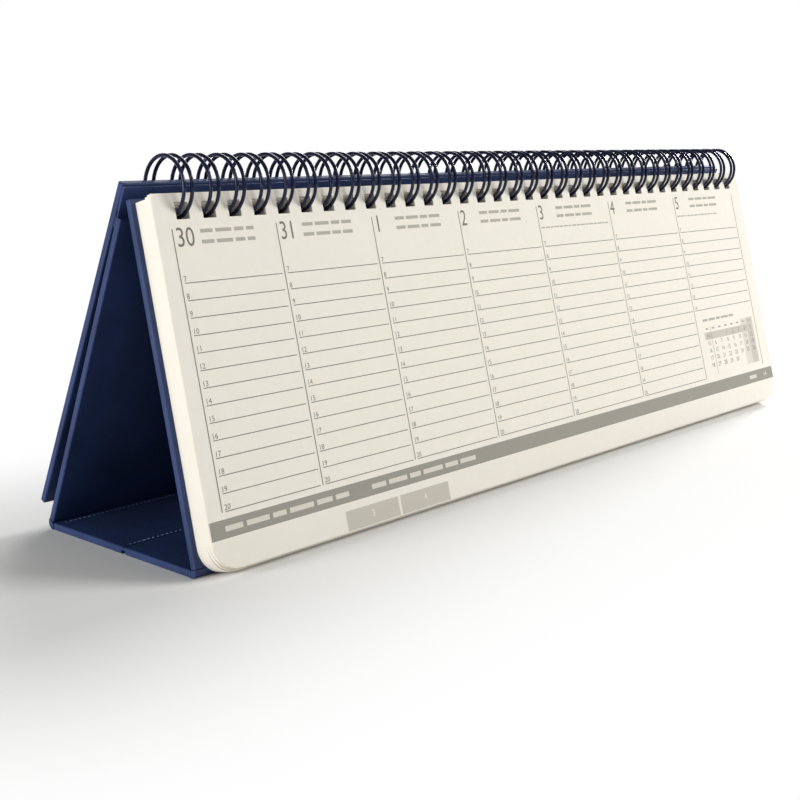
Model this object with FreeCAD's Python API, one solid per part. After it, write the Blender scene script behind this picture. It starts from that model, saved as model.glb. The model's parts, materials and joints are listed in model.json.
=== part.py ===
import FreeCAD, Part
import math
import os

# Desk diary: a week-per-leaf pad on a twin-loop wire, standing on a folding tent of covered boards.
# Millimetres. +X runs along the binding, -Y is the reader's side, +Z is up. The origin lies on the
# table under the middle of the whole object.

# Binding wire
loop_pitch = 25.4 / 3
loop_radius = 8.0
wire_diameter = 1.0
leg_spacing = 2.6
root_bend_radius = 0.8
tip_angle = 30.0
root_angle = 51.2

# Height of the ring axis above the table
axis_height = 95.6

# Leaves
leaf_width = 297.0
leaf_height = 94.2
leaf_lean = 13.3
leaf_top_below_axis = 2.3
leaf_corner_radius = 7.5
front_leaf_thickness = 0.2
front_leaf_clearance = 0.1
pack_thickness = 1.05
# How far each pack hangs below the current leaf, from the back of the pad to its front
pack_drops = (0.9, 0.9, 0.9, 0.9, 0.45, 0.1)
leaves_in_front_of_axis = 3.6

# Punched holes, the same in leaves and boards
hole_width = 4.2
hole_height = 4.4
hole_margin = 2.3
end_margin = 8.5
loop_count = int((leaf_width - 2 * end_margin) / loop_pitch) + 1

# Covered boards
panel_overhang = 1.5
panel_width = leaf_width + 2 * panel_overhang
panel_thickness = 2.0
covering_thickness = 0.35
covering_edge_radius = 0.45
lining_thickness = 0.25
turn_in = 10.0
foot_turn_in = 5.0

# Stand
panel_top_below_axis = 2.0
apex_below_axis = 7.9
apex_behind_axis = 6.5
rear_lean = 24.0
fold_core_radius = 0.2
crease_gap_front = 9.8
crease_gap_rear = 9.8
crease_notch_width = 1.8
crease_notch_height = 1.1
crease_forward = 2.6
hinge_clearance = 0.15
flap_height = 8.2
flap_thickness = 0.8
flap_hole_top = 5.4
flap_hole_height = 2.6

# Front cover, turned over the wire to the back
cover_lean = 26.0
cover_inner_offset = 4.9
cover_top_below_axis = 1.3
cover_length = 99.9
cover_hole_top = 2.7
cover_hole_height = 4.6

os.makedirs("parts", exist_ok=True)


# Frames: u runs down a sheet, n points out of its face, both in the YZ plane
def down_back(lean, sense):
    angle = math.radians(lean)
    return FreeCAD.Vector(0, sense * math.sin(angle), -math.cos(angle))


def placed(shape, origin, down, normal):
    matrix = FreeCAD.Matrix(
        1, 0, 0, origin.x,
        0, down.y, normal.y, origin.y,
        0, down.z, normal.z, origin.z,
        0, 0, 0, 1)
    return shape.transformed(matrix, True)


def write(name, shape):
    shape.exportStep("parts/" + name + ".step")
    print(name, "solids", len(shape.Solids), "volume %.1f" % shape.Volume, "valid", shape.isValid())


# Local sheets: X along the binding, Y down the sheet, Z through its thickness
def slab(width, start, end, low, high):
    return Part.makeBox(width, end - start, high - low, FreeCAD.Vector(-width / 2, start, low))


def loop_places():
    first = -(loop_count - 1) / 2 * loop_pitch
    return [first + i * loop_pitch for i in range(loop_count)]


def punched(shape, hole_top, height, low, high):
    cutters = []
    for x in loop_places():
        corner = FreeCAD.Vector(x - hole_width / 2, hole_top, low - 1)
        cutters.append(Part.makeBox(hole_width, height, high - low + 2, corner))
    return shape.cut(Part.makeCompound(cutters))


# A covered board: covering over one face and all edges, turned in on the other face round a lining.
# Its edges are rounded, apart from those at square_end, which run on into the next piece.
def covered_board(width, start, end, border, square_end=None):
    board_top = panel_thickness - lining_thickness
    board = slab(width - 2 * covering_thickness, start + covering_thickness, end - covering_thickness,
                 covering_thickness, board_top)
    lining = slab(width - 2 * border, start + border, end - border, board_top, panel_thickness)
    whole = slab(width, start, end, 0, panel_thickness)
    soft = [e for e in whole.Edges if square_end is None or abs(e.CenterOfMass.y - square_end) > 1e-6]
    covering = whole.makeFillet(covering_edge_radius, soft).cut(board).cut(lining)
    return {"board": board, "lining": lining, "covering": covering}


def write_panel(name, pieces, origin, down, normal):
    for kind, shape in pieces.items():
        write(name + "_" + kind, placed(shape, origin, down, normal))


# Shared places
rear_reach = (cover_inner_offset + panel_thickness) * math.cos(math.radians(cover_lean))
rear_reach += (cover_top_below_axis + cover_length) * math.sin(math.radians(cover_lean))
front_reach = (leaves_in_front_of_axis + front_leaf_thickness) * math.cos(math.radians(leaf_lean))
front_reach += (leaf_top_below_axis + leaf_height) * math.sin(math.radians(leaf_lean))
axis_forward = (rear_reach - front_reach) / 2
axis = FreeCAD.Vector(0, -axis_forward, axis_height)
front_down = down_back(leaf_lean, -1)
front_out = FreeCAD.Vector(0, -math.cos(math.radians(leaf_lean)), math.sin(math.radians(leaf_lean)))
rear_down = down_back(rear_lean, 1)
rear_out = FreeCAD.Vector(0, math.cos(math.radians(rear_lean)), math.sin(math.radians(rear_lean)))
cover_down = down_back(cover_lean, 1)
cover_out = FreeCAD.Vector(0, math.cos(math.radians(cover_lean)), math.sin(math.radians(cover_lean)))

hole_top = leaf_top_below_axis + hole_margin
pad_back = leaves_in_front_of_axis - front_leaf_clearance - len(pack_drops) * pack_thickness
panel_inner = pad_back - panel_thickness
apex = axis + FreeCAD.Vector(0, apex_behind_axis, -apex_below_axis)


def meet_height(origin, down, height):
    return origin + down * ((origin.z - height) / -down.z)


front_fold = meet_height(axis + front_out * panel_inner, front_down, panel_thickness)
rear_fold = meet_height(apex, rear_down, panel_thickness)
crease_y = (front_fold.y + rear_fold.y) / 2 - crease_forward


# Leaves
def leaf_sheet(low, high, drop):
    top = leaf_top_below_axis + drop
    foot = top + leaf_height
    sheet = slab(leaf_width, top, foot, low, high)
    corners = [e for e in sheet.Edges
               if abs(e.CenterOfMass.y - foot) < 1e-6 and abs(abs(e.CenterOfMass.x) - leaf_width / 2) < 1e-6]
    return punched(sheet.makeFillet(leaf_corner_radius, corners), top + hole_margin, hole_height, low, high)


def leaves():
    front = leaves_in_front_of_axis
    current = leaf_sheet(front, front + front_leaf_thickness, 0)
    write("current_leaf", placed(current, axis, front_down, front_out))
    for i, drop in enumerate(pack_drops):
        back = pad_back + i * pack_thickness
        pack = leaf_sheet(back, back + pack_thickness, drop)
        write("leaf_pack_%d" % (i + 1), placed(pack, axis, front_down, front_out))


# Binding wire: one unbroken wire of arcs, legs round the axis, tips in the holes, roots between them
def arc_tube(centre, start, normal, degrees):
    radius_vector = start - centre
    tangent = normal.cross(radius_vector)
    profile = Part.Wire(Part.makeCircle(wire_diameter / 2, start, tangent))
    tube = profile.revolve(centre, normal, degrees)
    return tube.Faces


def on_ring(x, degrees):
    angle = math.radians(degrees)
    return FreeCAD.Vector(x, axis.y + loop_radius * math.sin(angle), axis.z - loop_radius * math.cos(angle))


def ring_tangent(degrees):
    angle = math.radians(degrees)
    return FreeCAD.Vector(0, math.cos(angle), math.sin(angle))


def straight_tube(start, end):
    profile = Part.Wire(Part.makeCircle(wire_diameter / 2, start, end - start))
    return profile.extrude(end - start).Faces


def binding_wire():
    x_axis = FreeCAD.Vector(1, 0, 0)
    sweep = 360 - (root_angle - tip_angle)
    faces = []
    places = loop_places()
    half = leg_spacing / 2
    for i, x in enumerate(places):
        for side in (-1, 1):
            start = on_ring(x + side * half, root_angle)
            faces += arc_tube(FreeCAD.Vector(start.x, axis.y, axis.z), start, x_axis, sweep)
        # tip: half a turn in the plane that touches the ring
        tip_start = on_ring(x - half, tip_angle)
        radial = (on_ring(x, tip_angle) - FreeCAD.Vector(x, axis.y, axis.z)).normalize()
        faces += arc_tube(on_ring(x, tip_angle), tip_start, radial, 180)
        # root: two quarter bends and a straight bar to the next loop
        if i + 1 < len(places):
            root_radial = (on_ring(x, root_angle) - FreeCAD.Vector(x, axis.y, axis.z)).normalize()
            left = on_ring(x + half, root_angle)
            right = on_ring(places[i + 1] - half, root_angle)
            bend_left = left + x_axis * root_bend_radius
            bend_right = right - x_axis * root_bend_radius
            reach = ring_tangent(root_angle) * -root_bend_radius
            faces += arc_tube(bend_left, left, root_radial, -90)
            faces += straight_tube(bend_left + reach, bend_right + reach)
            faces += arc_tube(bend_right, right, root_radial, 90)
    for x in (places[0] - half, places[-1] + half):
        faces.append(Part.Face(Part.Wire(
            Part.makeCircle(wire_diameter / 2, on_ring(x, root_angle), ring_tangent(root_angle)))))
    shell = Part.makeShell(faces)
    shell.sewShape()
    solid = Part.makeSolid(shell if shell.ShapeType == "Shell" else shell.Shells[0])
    if solid.Volume < 0:
        solid.reverse()
    write("binding_wire", solid)


# Stand
def front_panel():
    end = (front_fold - axis).dot(front_down)
    pieces = covered_board(panel_width, panel_top_below_axis, end, turn_in)
    for kind in pieces:
        pieces[kind] = punched(pieces[kind], hole_top, hole_height, 0, panel_thickness)
    write_panel("front_panel", pieces, axis + front_out * pad_back, front_down, front_out * -1)


def rear_panel():
    end = (rear_fold - apex).dot(rear_down)
    pieces = covered_board(panel_width, 0, end, turn_in)
    write_panel("rear_panel", pieces, apex + rear_out * panel_thickness, rear_down, rear_out * -1)


def foot_halves():
    up = FreeCAD.Vector(0, 0, 1)
    rearward = FreeCAD.Vector(0, 1, 0)
    front_end = crease_y - crease_gap_front - front_fold.y
    pieces = covered_board(panel_width, hinge_clearance, front_end, foot_turn_in, front_end)
    write_panel("foot_front", pieces, FreeCAD.Vector(0, front_fold.y, 0), rearward, up)
    rear_end = rear_fold.y - crease_y - crease_gap_rear
    pieces = covered_board(panel_width, hinge_clearance, rear_end, foot_turn_in, rear_end)
    write_panel("foot_rear", pieces, FreeCAD.Vector(0, rear_fold.y, 0), rearward * -1, up)


def front_cover():
    pieces = covered_board(panel_width, cover_top_below_axis, cover_top_below_axis + cover_length, turn_in)
    for kind in pieces:
        pieces[kind] = punched(pieces[kind], cover_hole_top, cover_hole_height, 0, panel_thickness)
    write_panel("front_cover", pieces, axis + cover_out * cover_inner_offset, cover_down, cover_out)


# Covering skin over a fold: part of a ring round the fold line
def fold_skin(fold, first_direction, second_direction):
    middle = (first_direction + second_direction).normalize()
    points = []
    for radius in (fold_core_radius, panel_thickness):
        points.append([fold + d * radius for d in (first_direction, middle, second_direction)])
    edges = [Part.Arc(*points[0]).toShape(), Part.LineSegment(points[0][2], points[1][2]).toShape(),
             Part.Arc(*points[1]).toShape(), Part.LineSegment(points[1][0], points[0][0]).toShape()]
    face = Part.Face(Part.Wire(Part.__sortEdges__(edges)))
    skin = face.extrude(FreeCAD.Vector(panel_width, 0, 0))
    skin.translate(FreeCAD.Vector(-panel_width / 2, 0, 0))
    return skin


def folds():
    floor = FreeCAD.Vector(0, 0, -1)
    write("front_fold_skin", fold_skin(front_fold, front_out, floor))
    write("rear_fold_skin", fold_skin(rear_fold, floor, rear_out))
    start = crease_y - crease_gap_front
    end = crease_y + crease_gap_rear
    corner = FreeCAD.Vector(-panel_width / 2, start, 0)
    strip = Part.makeBox(panel_width, end - start, panel_thickness, corner)
    notch = Part.makeBox(panel_width, crease_notch_width, crease_notch_height,
                         FreeCAD.Vector(-panel_width / 2, crease_y - crease_notch_width / 2, 0))
    sides = [e for e in strip.Edges if abs(abs(e.CenterOfMass.x) - panel_width / 2) < 1e-6
             and abs(e.CenterOfMass.z - panel_thickness / 2) > 1e-6]
    write("crease_strip", strip.makeFillet(covering_edge_radius, sides).cut(notch))


# punched flap of covering that carries the rear panel on the wire; the panel folds along its lower edge
def binding_flap():
    flap_bottom = (apex - axis).dot(rear_down)
    flap_out = (apex - axis).dot(rear_out) + panel_thickness
    flap = slab(panel_width, flap_bottom - flap_height, flap_bottom, flap_out - flap_thickness, flap_out)
    flap = punched(flap, flap_hole_top, flap_hole_height, flap_out - flap_thickness, flap_out)
    write("binding_flap", placed(flap, axis, rear_down, rear_out))


leaves()
binding_wire()
front_panel()
rear_panel()
foot_halves()
front_cover()
folds()
binding_flap()
print("front fold", front_fold, "rear fold", rear_fold, "crease", crease_y)
print("apex", apex, "axis", axis)
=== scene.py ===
import bmesh
import bpy
import json
import math
from mathutils import Euler, Matrix, Vector


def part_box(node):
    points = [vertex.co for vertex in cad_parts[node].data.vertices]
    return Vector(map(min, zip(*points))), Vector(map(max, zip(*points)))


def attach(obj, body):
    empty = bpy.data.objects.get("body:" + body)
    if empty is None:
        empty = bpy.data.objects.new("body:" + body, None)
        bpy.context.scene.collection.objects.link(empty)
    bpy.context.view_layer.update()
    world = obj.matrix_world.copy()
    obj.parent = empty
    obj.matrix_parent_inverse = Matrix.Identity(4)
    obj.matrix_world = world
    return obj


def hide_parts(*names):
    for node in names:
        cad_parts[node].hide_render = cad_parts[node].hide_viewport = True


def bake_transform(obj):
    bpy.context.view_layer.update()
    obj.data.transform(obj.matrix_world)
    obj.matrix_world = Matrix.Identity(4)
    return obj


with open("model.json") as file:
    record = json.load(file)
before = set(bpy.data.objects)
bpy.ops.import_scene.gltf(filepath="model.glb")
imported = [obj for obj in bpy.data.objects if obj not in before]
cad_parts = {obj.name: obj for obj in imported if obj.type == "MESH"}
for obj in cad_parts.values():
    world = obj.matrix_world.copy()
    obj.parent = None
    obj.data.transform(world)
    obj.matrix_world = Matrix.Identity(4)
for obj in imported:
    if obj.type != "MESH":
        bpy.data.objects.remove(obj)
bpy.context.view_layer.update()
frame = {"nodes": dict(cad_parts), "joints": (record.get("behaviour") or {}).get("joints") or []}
nodes = frame["nodes"]
print("loaded", len(nodes), "solids")

mm = 0.001


# sheets lean back from the ring axis; out points at the reader
def leaning(angle, origin):
    s, c = math.sin(math.radians(angle)), math.cos(math.radians(angle))
    right, up, out = Vector((1, 0, 0)), Vector((0, s, c)), Vector((0, -c, s))
    m = Matrix((right, up, out)).transposed().to_4x4()
    m.translation = origin
    return m


joints = {j["name"]: j for j in frame["joints"]}
ringAxis = Vector(joints["leaf_turn"]["pos_m"])
apex = Vector(joints["stand_fold"]["pos_m"])
frontFold = Vector(joints["foot_front_fold"]["pos_m"])
rearFold = Vector(joints["foot_rear_fold"]["pos_m"])
pageLean = 13.3
rearLean = 24.0
pagePlane = leaning(pageLean, ringAxis) @ Matrix.Scale(mm, 4)   # takes x, height and out in millimetres


def linear(hexColour):
    out = []
    for i in (1, 3, 5):
        v = int(hexColour[i:i + 2], 16) / 255
        out.append(v / 12.92 if v <= 0.04045 else ((v + 0.055) / 1.055) ** 2.4)
    return (*out, 1.0)


def addNode(tree, kind, settings=None, values=None, links=None):
    n = tree.nodes.new(kind)
    for k, v in (settings or {}).items():
        setattr(n, k, v)
    for k, v in (values or {}).items():
        n.inputs[k].default_value = v
    for k, source in (links or {}).items():
        tree.links.new(source, n.inputs[k])
    return n


def newMaterial(name):
    m = bpy.data.materials.new(name)
    m.use_nodes = True
    m.node_tree.nodes.clear()
    return m, m.node_tree


def finishMaterial(tree, shader):
    addNode(tree, "ShaderNodeOutputMaterial", links={"Surface": shader.outputs[0]})


leatherLook = {"dark": "#1d2a4a", "light": "#33487c", "grainMm": 0.7, "roughness": 0.55}
liningLook = {"dark": "#212c4a", "light": "#354672", "grainMm": 0.9, "roughness": 0.48}
patchMm = 14


# embossed PU leatherette: pebbled grain under a satin finish, so edges catch soft blue light
def embossedLeatherette(name, look):
    m, t = newMaterial(name)
    place = addNode(t, "ShaderNodeTexCoord")
    grain = addNode(t, "ShaderNodeTexVoronoi", {"feature": "SMOOTH_F1"},
                    {"Scale": 1 / (look["grainMm"] * mm)}, {"Vector": place.outputs["Object"]})
    patch = addNode(t, "ShaderNodeTexNoise", values={"Scale": 1 / (patchMm * mm), "Detail": 4.0},
                    links={"Vector": place.outputs["Object"]})
    tone = addNode(t, "ShaderNodeMix", {"data_type": "RGBA"}, links={"Factor": patch.outputs["Fac"]})
    tone.inputs[6].default_value = linear(look["dark"])
    tone.inputs[7].default_value = linear(look["light"])
    bump = addNode(t, "ShaderNodeBump", values={"Strength": 0.25, "Distance": 0.0002},
                   links={"Height": grain.outputs["Distance"]})
    shader = addNode(t, "ShaderNodeBsdfPrincipled", values={"Roughness": look["roughness"], "IOR": 1.4},
                     links={"Base Color": tone.outputs[2], "Normal": bump.outputs["Normal"]})
    finishMaterial(t, shader)
    return m


paperLook = {"front": "#f0ebe0", "shade": "#ebe5d9", "line": "#cfc6b2", "leafLineMm": 0.35, "fibreMm": 3}


# uncoated ivory paper; on the cut edges the leaves are fine lines, drawn coarser than real leaves to show
def uncoatedPaper(name, look, edges):
    m, t = newMaterial(name)
    place = addNode(t, "ShaderNodeTexCoord")
    fibre = addNode(t, "ShaderNodeTexNoise", values={"Scale": 1 / (look["fibreMm"] * mm), "Detail": 6.0},
                    links={"Vector": place.outputs["Object"]})
    tone = addNode(t, "ShaderNodeMix", {"data_type": "RGBA"}, links={"Factor": fibre.outputs["Fac"]})
    tone.inputs[6].default_value = linear(look["front"])
    tone.inputs[7].default_value = linear(look["shade"])
    colour = tone.outputs[2]
    if edges:
        s, c = math.sin(math.radians(pageLean)), math.cos(math.radians(pageLean))
        depth = addNode(t, "ShaderNodeVectorMath", {"operation": "DOT_PRODUCT"},
                        links={0: place.outputs["Object"]})
        depth.inputs[1].default_value = (0, -c, s)
        turns = addNode(t, "ShaderNodeMath", {"operation": "MULTIPLY"},
                        {1: 2 * math.pi / (look["leafLineMm"] * mm)}, {0: depth.outputs["Value"]})
        wave = addNode(t, "ShaderNodeMath", {"operation": "SINE"}, links={0: turns.outputs[0]})
        line = addNode(t, "ShaderNodeMapRange", values={"From Min": 0.3, "From Max": 1.0, "To Max": 0.55},
                       links={"Value": wave.outputs[0]})
        lined = addNode(t, "ShaderNodeMix", {"data_type": "RGBA"},
                        links={"Factor": line.outputs[0], 6: colour})
        lined.inputs[7].default_value = linear(look["line"])
        colour = lined.outputs[2]
    bump = addNode(t, "ShaderNodeBump", values={"Strength": 0.08, "Distance": 0.0001},
                   links={"Height": fibre.outputs["Fac"]})
    shader = addNode(t, "ShaderNodeBsdfPrincipled", values={"Roughness": 0.8, "IOR": 1.45},
                     links={"Base Color": colour, "Normal": bump.outputs["Normal"]})
    finishMaterial(t, shader)
    return m


# matt offset ink: a faint mottle where the paper takes it unevenly
def offsetInk(name, colour):
    m, t = newMaterial(name)
    place = addNode(t, "ShaderNodeTexCoord")
    mottle = addNode(t, "ShaderNodeTexNoise", values={"Scale": 1 / (1.5 * mm)},
                     links={"Vector": place.outputs["Object"]})
    rough = addNode(t, "ShaderNodeMapRange", values={"To Min": 0.65, "To Max": 0.85},
                    links={"Value": mottle.outputs["Fac"]})
    shader = addNode(t, "ShaderNodeBsdfPrincipled", values={"Base Color": linear(colour)},
                     links={"Roughness": rough.outputs[0]})
    finishMaterial(t, shader)
    return m


# nylon-coated steel wire: dark smooth coat with sharp pale highlights
def coatedWire(name):
    m, t = newMaterial(name)
    place = addNode(t, "ShaderNodeTexCoord")
    scuff = addNode(t, "ShaderNodeTexNoise", values={"Scale": 1 / (2 * mm), "Detail": 3.0},
                    links={"Vector": place.outputs["Object"]})
    rough = addNode(t, "ShaderNodeMapRange", values={"To Min": 0.16, "To Max": 0.28},
                    links={"Value": scuff.outputs["Fac"]})
    shader = addNode(t, "ShaderNodeBsdfPrincipled", values={"Base Color": linear("#0b1334"), "IOR": 1.4},
                     links={"Roughness": rough.outputs[0]})
    finishMaterial(t, shader)
    return m


# grey board: rough pulp, only at cut edges
def greyBoard(name):
    m, t = newMaterial(name)
    place = addNode(t, "ShaderNodeTexCoord")
    pulp = addNode(t, "ShaderNodeTexNoise", values={"Scale": 1 / (0.8 * mm), "Detail": 6.0},
                   links={"Vector": place.outputs["Object"]})
    tone = addNode(t, "ShaderNodeMix", {"data_type": "RGBA"}, links={"Factor": pulp.outputs["Fac"]})
    tone.inputs[6].default_value = linear("#8a8378")
    tone.inputs[7].default_value = linear("#a39b8e")
    shader = addNode(t, "ShaderNodeBsdfPrincipled", values={"Roughness": 0.9},
                     links={"Base Color": tone.outputs[2]})
    finishMaterial(t, shader)
    return m


leatherette = embossedLeatherette("embossedLeatherette", leatherLook)
liningSheet = embossedLeatherette("smoothLining", liningLook)
paperEdges = uncoatedPaper("uncoatedPaperPad", paperLook, True)
paperPlain = uncoatedPaper("uncoatedPaperLeaf", paperLook, False)
darkInk = offsetInk("offsetInkGrey", "#77746b")
barInk = offsetInk("offsetInkBar", "#98958b")
wordInk = offsetInk("offsetInkWord", "#b0aca0")
paleInk = offsetInk("offsetInkPale", "#d8d3c6")
shadeInk = offsetInk("offsetInkShade", "#c6c0b4")
whiteInk = offsetInk("offsetInkWhite", "#efeae0")
# print in layers, in millimetres above the sheet, so that figures lie on shading and not in it
inkLift = {paleInk: 0.010, shadeInk: 0.014, barInk: 0.014, wordInk: 0.020, darkInk: 0.026, whiteInk: 0.026}
wireCoat = coatedWire("nylonCoatedWire")
boardPulp = greyBoard("greyBoard")

for name, o in nodes.items():
    o.data.materials.clear()
    if name.startswith("leaf_pack"):
        o.data.materials.append(paperEdges)
    elif name == "current_leaf":
        o.data.materials.append(paperPlain)
    elif name == "binding_wire":
        o.data.materials.append(wireCoat)
    elif name.endswith("_board"):
        o.data.materials.append(boardPulp)
    elif name.endswith("_lining"):
        o.data.materials.append(liningSheet)
    else:
        o.data.materials.append(leatherette)
print("materials set")


def link(name, mesh, material):
    o = bpy.data.objects.new(name, mesh)
    bpy.context.scene.collection.objects.link(o)
    if material:
        o.data.materials.clear()
        o.data.materials.append(material)
    return o


def meshFrom(name, verts, faces):
    mesh = bpy.data.meshes.new(name)
    mesh.from_pydata(verts, [], faces)
    mesh.update()
    return mesh


# a closed strip along the binding from its end outline in y, z
def strip(name, outline, halfWidth, material):
    n = len(outline)
    verts = [(-halfWidth, y, z) for y, z in outline] + [(halfWidth, y, z) for y, z in outline]
    faces = [(i, (i + 1) % n, n + (i + 1) % n, n + i) for i in range(n)]
    faces += [tuple(reversed(range(n))), tuple(range(n, 2 * n))]
    mesh = meshFrom(name, verts, faces)
    o = link(name, mesh, material)
    b = bmesh.new()
    b.from_mesh(mesh)
    bmesh.ops.recalc_face_normals(b, faces=b.faces)
    b.to_mesh(mesh)
    b.free()
    return o


# covering where it runs round a fold
foldSkin = {"outer": 2.0 * mm, "inner": 0.2 * mm, "steps": 10, "half": 150 * mm, "held": 0.0018}


def roundFold(centre, first, second):
    turn = second - first
    ring = [math.radians(first + turn * i / foldSkin["steps"]) for i in range(foldSkin["steps"] + 1)]
    outline = []
    for radius, angles in ((foldSkin["outer"], ring), (foldSkin["inner"], list(reversed(ring)))):
        outline += [(centre.y + radius * math.cos(a), centre.z + radius * math.sin(a)) for a in angles]
    return outline


rearOut = Vector((0, math.cos(math.radians(rearLean)), math.sin(math.radians(rearLean))))
frontSkin = strip("frontFoldSkin", roundFold(frontFold, 180 - pageLean, 270), foldSkin["half"], leatherette)
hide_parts("front_fold_skin")
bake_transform(frontSkin)
rearSkin = strip("rearFoldSkin", roundFold(rearFold, 270, 360 + rearLean), foldSkin["half"], leatherette)
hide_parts("rear_fold_skin")
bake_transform(rearSkin)

# covering over the fold at the top of the rear panel
apexSkin = {"above": 1.7 * mm, "below": 3 * mm, "face": 2 * mm, "proud": 0.1 * mm, "depth": 0.35 * mm,
            "steps": 8}
rearDown = Vector((0, math.sin(math.radians(rearLean)), -math.cos(math.radians(rearLean))))
drops = [-apexSkin["above"] + (apexSkin["above"] + apexSkin["below"]) * i / apexSkin["steps"]
         for i in range(apexSkin["steps"] + 1)]
outer = [apex + rearDown * d + rearOut * (apexSkin["face"] + apexSkin["proud"]) for d in drops]
inner = [apex + rearDown * d + rearOut * (apexSkin["face"] - apexSkin["depth"]) for d in reversed(drops)]
topSkin = strip("apexFoldSkin", [(v.y, v.z) for v in outer + inner], foldSkin["half"], leatherette)
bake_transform(topSkin)

# the foot's crease: a scored web with a notch under it, in two halves
creaseScore = {"notch": 1.8 * mm, "web": 0.9 * mm, "groove": 0.4 * mm, "endRound": 0.45 * mm}


def roundEnds(o, levels, radius):
    b = bmesh.new()
    b.from_mesh(o.data)
    rims = [e for e in b.edges if abs(e.verts[0].co.x - e.verts[1].co.x) < 1e-6
            and any(all(abs(v.co.z - z) < 1e-6 for v in e.verts) for z in levels)
            and abs(e.verts[0].co.y - e.verts[1].co.y) > 2 * radius]
    bmesh.ops.bevel(b, geom=rims, offset=radius, segments=3, profile=0.5, affect="EDGES")
    b.to_mesh(o.data)
    b.free()


lowest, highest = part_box("crease_strip")
middle = (lowest.y + highest.y) / 2
for side, body, end in ((-1, "foot_front", lowest.y), (1, "foot_rear", highest.y)):
    lip = middle + side * creaseScore["notch"] / 2
    under = highest.z - creaseScore["web"]
    half = strip("creaseHalf" + body.title().replace("_", ""),
                 [(end, 0), (lip, 0), (lip, under), (middle, under),
                  (middle, highest.z - creaseScore["groove"]),
                  (middle + side * creaseScore["groove"], highest.z), (end, highest.z)],
                 foldSkin["half"], leatherette)
    roundEnds(half, (0, highest.z), creaseScore["endRound"])
    if side < 0:
        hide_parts("crease_strip")
    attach(half, body)
print("folds made")


# scored stitch line: short raised grains in a row, made as one tree
def stitchTree(material):
    t = bpy.data.node_groups.new("stitchRow", "GeometryNodeTree")
    t.interface.new_socket("Geometry", in_out="OUTPUT", socket_type="NodeSocketGeometry")
    for name, kind in (("Count", "NodeSocketInt"), ("Spacing", "NodeSocketFloat"),
                       ("Grain", "NodeSocketFloat")):
        t.interface.new_socket(name, in_out="INPUT", socket_type=kind)
    given = addNode(t, "NodeGroupInput")
    offset = addNode(t, "ShaderNodeCombineXYZ", links={"X": given.outputs["Spacing"]})
    points = addNode(t, "GeometryNodeMeshLine",
                     links={"Count": given.outputs["Count"], "Offset": offset.outputs[0]})
    grain = addNode(t, "GeometryNodeMeshIcoSphere", values={"Subdivisions": 1},
                    links={"Radius": given.outputs["Grain"]})
    uneven = addNode(t, "FunctionNodeRandomValue", {"data_type": "FLOAT_VECTOR"}, {"Seed": 7})
    uneven.inputs[0].default_value = (0.6, 0.45, 0.35)
    uneven.inputs[1].default_value = (1.5, 0.85, 0.6)
    copies = addNode(t, "GeometryNodeInstanceOnPoints",
                     links={"Points": points.outputs[0], "Instance": grain.outputs[0],
                            "Scale": uneven.outputs[0]})
    real = addNode(t, "GeometryNodeRealizeInstances", links={0: copies.outputs[0]})
    covered = addNode(t, "GeometryNodeSetMaterial", values={"Material": material}, links={0: real.outputs[0]})
    addNode(t, "NodeGroupOutput", links={0: covered.outputs[0]})
    return t


def fromTree(tree, values):
    o = link("treeWork", bpy.data.meshes.new("treeWork"), None)
    mod = o.modifiers.new("tree", "NODES")
    mod.node_group = tree
    given = {s.name: s.identifier for s in tree.interface.items_tree if s.in_out == "INPUT"}
    for name, value in values.items():
        mod[given[name]] = value
    bpy.context.view_layer.update()
    mesh = bpy.data.meshes.new_from_object(o.evaluated_get(bpy.context.evaluated_depsgraph_get()))
    bpy.data.objects.remove(o)
    return mesh


# score grains: their pale blue colour is a painted highlight along the scored lines, with a glossier finish
# than the covering
highlightGrain = embossedLeatherette("burnishedScore", {"dark": "#5f70a8", "light": "#9aa8d2", "grainMm": 0.5,
                                                    "roughness": 0.32})
stitchRow = {"spacing": 1.5 * mm, "grain": 0.42 * mm, "inset": 3 * mm,
             "fromCrease": 0.9 * mm, "fromFold": 2.3 * mm}
rowTree = stitchTree(highlightGrain)
# rows of raised grains along the crease and the rear fold, coloured with the painted highlight
for name, y, body in (("creaseStitches", middle + stitchRow["fromCrease"], "foot_rear"),
                      ("rearStitches", rearFold.y - stitchRow["fromFold"], "foot_rear")):
    length = 2 * (foldSkin["half"] - stitchRow["inset"])
    mesh = fromTree(rowTree, {"Count": int(length / stitchRow["spacing"]), "Spacing": stitchRow["spacing"],
                              "Grain": stitchRow["grain"]})
    mesh.transform(Matrix.Translation((-length / 2, y, highest.z)))
    row = link(name, mesh, highlightGrain)
    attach(row, body)
print("stitch lines made")


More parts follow.
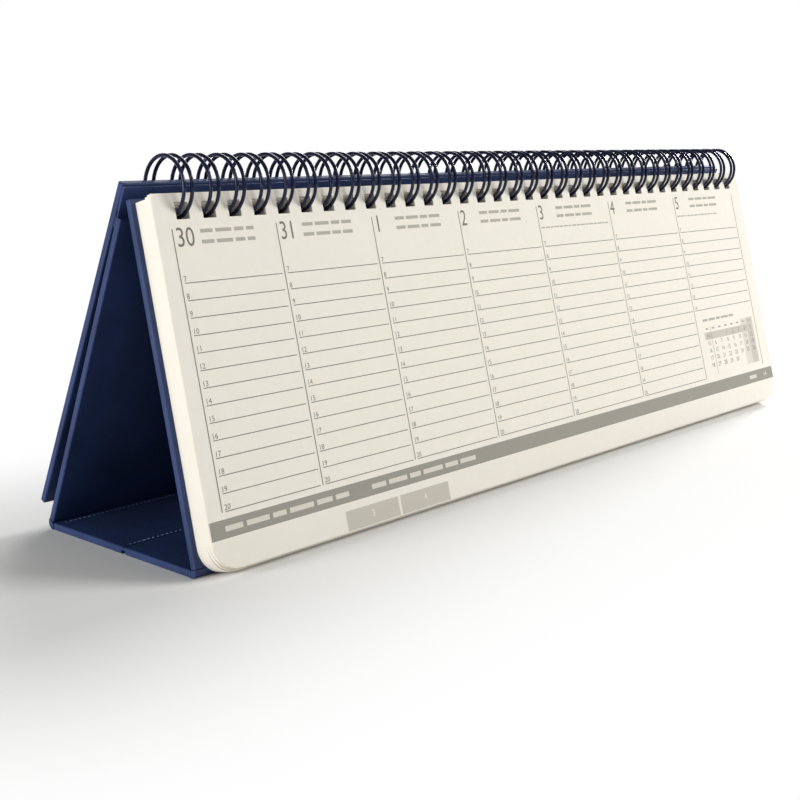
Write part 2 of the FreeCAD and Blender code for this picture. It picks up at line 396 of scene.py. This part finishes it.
# ruled hour lines: one tree, a column of thin bars
def ruledLineTree(material):
    t = bpy.data.node_groups.new("ruledLines", "GeometryNodeTree")
    t.interface.new_socket("Geometry", in_out="OUTPUT", socket_type="NodeSocketGeometry")
    for name, kind in (("Count", "NodeSocketInt"), ("Step", "NodeSocketFloat"), ("Length", "NodeSocketFloat"),
                       ("Weight", "NodeSocketFloat")):
        t.interface.new_socket(name, in_out="INPUT", socket_type=kind)
    given = addNode(t, "NodeGroupInput")
    fall = addNode(t, "ShaderNodeMath", {"operation": "MULTIPLY"}, {1: -1.0}, {0: given.outputs["Step"]})
    offset = addNode(t, "ShaderNodeCombineXYZ", links={"Y": fall.outputs[0]})
    points = addNode(t, "GeometryNodeMeshLine",
                     links={"Count": given.outputs["Count"], "Offset": offset.outputs[0]})
    bar = addNode(t, "GeometryNodeMeshGrid", values={"Vertices X": 2, "Vertices Y": 2},
                  links={"Size X": given.outputs["Length"], "Size Y": given.outputs["Weight"]})
    copies = addNode(t, "GeometryNodeInstanceOnPoints",
                     links={"Points": points.outputs[0], "Instance": bar.outputs[0]})
    real = addNode(t, "GeometryNodeRealizeInstances", links={0: copies.outputs[0]})
    inked = addNode(t, "GeometryNodeSetMaterial", values={"Material": material}, links={0: real.outputs[0]})
    addNode(t, "NodeGroupOutput", links={0: inked.outputs[0]})
    return t


ruleTree = ruledLineTree(darkInk)


def ruledMesh(count, step, length, weight):
    mesh = fromTree(ruleTree, {"Count": count, "Step": step, "Length": length, "Weight": weight})
    return [tuple(v.co) for v in mesh.vertices], [tuple(p.vertices) for p in mesh.polygons]


# word bars, in heights of the row
wordLook = {"lengths": (4.2, 5.6, 3.4, 6.3), "gap": 0.9, "shortest": 2.2}


# flat print gathered as faces in page millimetres: x, height above the axis
class PrintSheet:
    def __init__(self):
        self.faces = {}

    def add(self, ink, verts, faces, x=0.0, height=0.0):
        have = self.faces.setdefault(ink, ([], []))
        base = len(have[0])
        have[0].extend((v[0] + x, v[1] + height) for v in verts)
        have[1].extend(tuple(base + i for i in f) for f in faces)

    def bar(self, ink, x0, x1, u0, u1):
        self.add(ink, [(x0, -u1), (x1, -u1), (x1, -u0), (x0, -u0)], [(0, 1, 2, 3)])

    # plain bars of word length stand for words
    def words(self, ink, x0, x1, u, height):
        x = x0
        i = 0
        while x < x1 - wordLook["shortest"] * height:
            end = min(x + wordLook["lengths"][i % len(wordLook["lengths"])] * height, x1)
            self.bar(ink, x, end, u - height, u)
            x = end + height * wordLook["gap"]
            i += 1

    def number(self, ink, text, size, x, u, squeeze=1.0, align="LEFT"):
        curve = bpy.data.curves.new("numeral", "FONT")
        curve.body, curve.size, curve.align_x = text, size, align
        curve.resolution_u = 3
        o = bpy.data.objects.new("numeral", curve)
        bpy.context.scene.collection.objects.link(o)
        mesh = bpy.data.meshes.new_from_object(o.evaluated_get(bpy.context.evaluated_depsgraph_get()))
        bpy.data.objects.remove(o)
        self.add(ink, [(v.co.x * squeeze, v.co.y) for v in mesh.vertices],
                 [tuple(p.vertices) for p in mesh.polygons], x, -u)

    def lay(self, name, out, body):
        for ink, (verts, faces) in self.faces.items():
            placed = [tuple(pagePlane @ Vector((v[0], v[1], out + inkLift[ink]))) for v in verts]
            o = link(name + ink.name[9:], meshFrom(name, placed, faces), ink)
            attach(o, body)


weekPage = {"lines": [0, 34.45, 71.28, 110.12, 150.83, 194.13, 239.28, 285.61], "left": -144.02, "top": 11.35,
            "foot": 82.3, "firstHour": 25.05, "hourStep": 4.396,
            "days": ["30", "31", "1", "2", "3", "4", "5"],
            "dayFoot": 15.9, "wordRows": (12.7, 15.5), "noteRow": 18.9, "barTop": 83.97, "barFoot": 88.65,
            "rule": 0.22, "bar": 0.29, "noteShare": {4: 0.95, 6: 0.72}, "halfWidth": 148.5, "hours": (7, 20),
            "lastDayEnd": 14, "ruleShort": 1.9, "ruleShift": 0.2, "hourSize": 2.0, "hourIn": 1.0,
            "hourUp": 0.4,
            "daySize": 7.05, "dayIn": 0.9, "daySqueeze": 0.84, "wordShare": (0.255, 0.77), "wordHeight": 0.95,
            "noteIn": 1.2, "noteHeight": 0.45}


def printWeek():
    page = PrintSheet()
    xs = [weekPage["left"] + v for v in weekPage["lines"]]
    for x in xs:
        page.bar(darkInk, x, x + weekPage["bar"], weekPage["top"], weekPage["foot"])
    firstHour, lastHour = weekPage["hours"]
    for k, day in enumerate(weekPage["days"]):
        x0, x1 = xs[k], xs[k + 1]
        wide = x1 - x0
        last = weekPage["lastDayEnd"] if day == weekPage["days"][-1] else lastHour
        count = last - firstHour + 1
        verts, faces = ruledMesh(count, weekPage["hourStep"], wide - weekPage["ruleShort"], weekPage["rule"])
        page.add(darkInk, verts, faces, (x0 + x1) / 2 + weekPage["ruleShift"], -weekPage["firstHour"])
        for hour in range(firstHour, last + 1):
            u = weekPage["firstHour"] + (hour - firstHour) * weekPage["hourStep"]
            page.number(darkInk, str(hour), weekPage["hourSize"], x0 + weekPage["hourIn"],
                        u - weekPage["hourUp"])
        page.number(darkInk, day, weekPage["daySize"], x0 + weekPage["dayIn"], weekPage["dayFoot"],
                    weekPage["daySqueeze"])
        start, end = (x0 + share * wide for share in weekPage["wordShare"])
        for u in weekPage["wordRows"]:
            page.words(wordInk, start, end, u, weekPage["wordHeight"])
        if k in weekPage["noteShare"]:
            noteEnd = x0 + weekPage["noteShare"][k] * wide
            page.words(wordInk, x0 + weekPage["noteIn"], noteEnd, weekPage["noteRow"], weekPage["noteHeight"])
    miniMonth(page, miniLook["left"], miniLook["right"], miniLook["top"])
    page.bar(barInk, -weekPage["halfWidth"], weekPage["halfWidth"], weekPage["barTop"],
             weekPage["barFoot"])
    return page


miniLook = {"left": 100.1, "right": 139.3, "top": 62.0, "rows": 6, "columns": 8, "step": 2.85,
            "firstWeek": 14,
            "days": 30, "blankDays": 2, "size": 2.4, "squeeze": 0.95, "headIn": 0.4, "headShort": 14.6,
            "headUp": 1.5, "headHeight": 0.9, "rule": 0.2}


def miniMonth(page, x0, x1, u):
    stepX, step = (x1 - x0) / miniLook["columns"], miniLook["step"]
    low = u + (miniLook["rows"] + 0.6) * step
    page.words(wordInk, x0 + miniLook["headIn"], x1 - miniLook["headShort"], u - miniLook["headUp"],
               miniLook["headHeight"])
    page.bar(paleInk, x1 - 2 * stepX, x1 - stepX, u + 0.1 * step, low)
    page.bar(shadeInk, x1 - stepX, x1, u + 0.1 * step, low)
    page.bar(shadeInk, x0, x1 - stepX, u + step, u + 2 * step)
    page.bar(darkInk, x0 + stepX, x0 + stepX + miniLook["rule"], u + 0.2 * step, low + 0.2 * step)
    # a short dash over each column
    for col in range(miniLook["columns"]):
        page.bar(wordInk, x0 + (col + 0.3) * stepX, x0 + (col + 0.7) * stepX, u + 0.4 * step, u + 0.65 * step)
    for row in range(1, miniLook["rows"]):
        for col in range(miniLook["columns"]):
            day = (row - 1) * 7 + col - miniLook["blankDays"]
            text = str(miniLook["firstWeek"] + row - 1) if col == 0 else str(day)
            if col == 0 or 1 <= day <= miniLook["days"]:
                page.number(darkInk, text, miniLook["size"], x0 + (col + 0.5) * stepX,
                            u + (row + 0.78) * step, miniLook["squeeze"], "CENTER")


footLook = {"words": ((-143.8, -100.7), (-91.7, -46.4), (129.0, 137.5)), "wordFoot": 87.0, "wordHeight": 1.35,
            "tabs": (("3", -103.2), ("4", -81.5)), "tabWidth": 20.7, "tabTop": 90.85, "tabFoot": 96.2,
            "week": ("14", 2.6, 143.1, 0.2), "tabSize": 2.5, "tabBase": 94.1}


def printFoot(sheet):
    for x0, x1 in footLook["words"]:
        sheet.words(paleInk, x0, x1, footLook["wordFoot"], footLook["wordHeight"])
    week, size, x, drop = footLook["week"]
    sheet.number(whiteInk, week, size, x, footLook["wordFoot"] + drop, 1.0, "RIGHT")
    for text, x0 in footLook["tabs"]:
        x1 = x0 + footLook["tabWidth"]
        sheet.bar(shadeInk, x0, x1, footLook["tabTop"], footLook["tabFoot"])
        sheet.number(whiteInk, text, footLook["tabSize"], (x0 + x1) / 2, footLook["tabBase"], 1.0, "CENTER")


printedPage = printWeek()
raised = PrintSheet()
printFoot(raised)
# faces of the current leaf and of the pad behind it, in millimetres out from the axis
faceOut = {"leaf": 3.8, "pad": 3.5, "raise": 0.015}
for name, body in (("weekPrint", "leaf"), ("nextWeekPrint", "pad")):
    printedPage.lay(name, faceOut[body], body)
    raised.lay(name + "Foot", faceOut[body] + faceOut["raise"], body)
print("print laid")

# table, light and camera
tableLook = {"half": 6, "shadowHalf": (0.185, 0.03, 0), "fade": 0.1, "colour": "#f2f2f0"}
side = tableLook["half"]
corners = [(-side, -side, 0), (side, -side, 0), (side, side, 0), (-side, side, 0)]
tableTop = link("tableTop", meshFrom("tableTop", corners, [(0, 1, 2, 3)]), None)
m, t = newMaterial("paleTable")
place = addNode(t, "ShaderNodeTexCoord")
folded = addNode(t, "ShaderNodeVectorMath", {"operation": "ABSOLUTE"}, links={0: place.outputs["Object"]})
beyond = addNode(t, "ShaderNodeVectorMath", {"operation": "SUBTRACT"}, {1: tableLook["shadowHalf"]},
                 {0: folded.outputs[0]})
clear = addNode(t, "ShaderNodeVectorMath", {"operation": "MAXIMUM"}, {1: (0, 0, 0)}, {0: beyond.outputs[0]})
reach = addNode(t, "ShaderNodeVectorMath", {"operation": "LENGTH"}, links={0: clear.outputs[0]})
far = addNode(t, "ShaderNodeMapRange", {"interpolation_type": "SMOOTHSTEP"},
              {"From Min": 0.0, "From Max": tableLook["fade"]}, {"Value": reach.outputs["Value"]})
ray = addNode(t, "ShaderNodeLightPath")
seen = addNode(t, "ShaderNodeMath", {"operation": "MULTIPLY"},
               links={0: far.outputs[0], 1: ray.outputs["Is Camera Ray"]})
matt = addNode(t, "ShaderNodeBsdfDiffuse", values={"Color": linear(tableLook["colour"])})
white = addNode(t, "ShaderNodeEmission", values={"Strength": 1.0})
both = addNode(t, "ShaderNodeMixShader", links={0: seen.outputs[0], 1: matt.outputs[0], 2: white.outputs[0]})
finishMaterial(t, both)
tableTop.data.materials.append(m)

world = bpy.data.worlds.new("softRoom")
bpy.context.scene.world = world
world.use_nodes = True
t = world.node_tree
t.nodes.clear()
ray = addNode(t, "ShaderNodeLightPath")
roomLevel = 0.24
level = addNode(t, "ShaderNodeMapRange", values={"To Min": roomLevel, "To Max": 1.0},
                links={"Value": ray.outputs["Is Camera Ray"]})
sky = addNode(t, "ShaderNodeBackground", values={"Color": (1, 1, 1, 1)}, links={"Strength": level.outputs[0]})
addNode(t, "ShaderNodeOutputWorld", links={"Surface": sky.outputs[0]})

# place, size in metres, power in watts
lampAim = Vector((0, 0, 0.05))
lamps = {"key": ((0.9, -1.1, 0.8), 0.58, 16.5), "left": ((-0.95, 0.05, 0.14), 0.4, 6.2),
         "back": ((0.75, 0.6, 0.7), 0.5, 6.0), "side": ((0.95, 0.12, 0.36), 0.2, 9.0)}
for name, (where, size, power) in lamps.items():
    lamp = bpy.data.lights.new(name, "AREA")
    lamp.size, lamp.energy = size, power
    o = bpy.data.objects.new(name, lamp)
    o.location = where
    o.rotation_euler = (lampAim - Vector(where)).to_track_quat("-Z", "Y").to_euler()
    bpy.context.scene.collection.objects.link(o)

photoView = {"place": (-0.33260, -0.26729, 0.10265), "yaw": 46.633, "pitch": 7.788, "roll": 0.687,
             "lens": 56.058,
             "shift": (0.0246, -0.0917)}
cam = bpy.data.cameras.new("photoCamera")
cam.lens, cam.sensor_width, cam.clip_start = photoView["lens"], 36.0, 0.01
cam.shift_x, cam.shift_y = photoView["shift"]
o = bpy.data.objects.new("photoCamera", cam)
o.location = photoView["place"]
aim = Euler((math.radians(90 - photoView["pitch"]), 0, -math.radians(photoView["yaw"]))).to_matrix()
o.rotation_euler = (aim @ Matrix.Rotation(-math.radians(photoView["roll"]), 3, "Z")).to_euler()
bpy.context.scene.collection.objects.link(o)
bpy.context.scene.camera = o
bpy.context.scene.view_settings.view_transform = "Standard"
print("stage set")

bpy.context.view_layer.update()
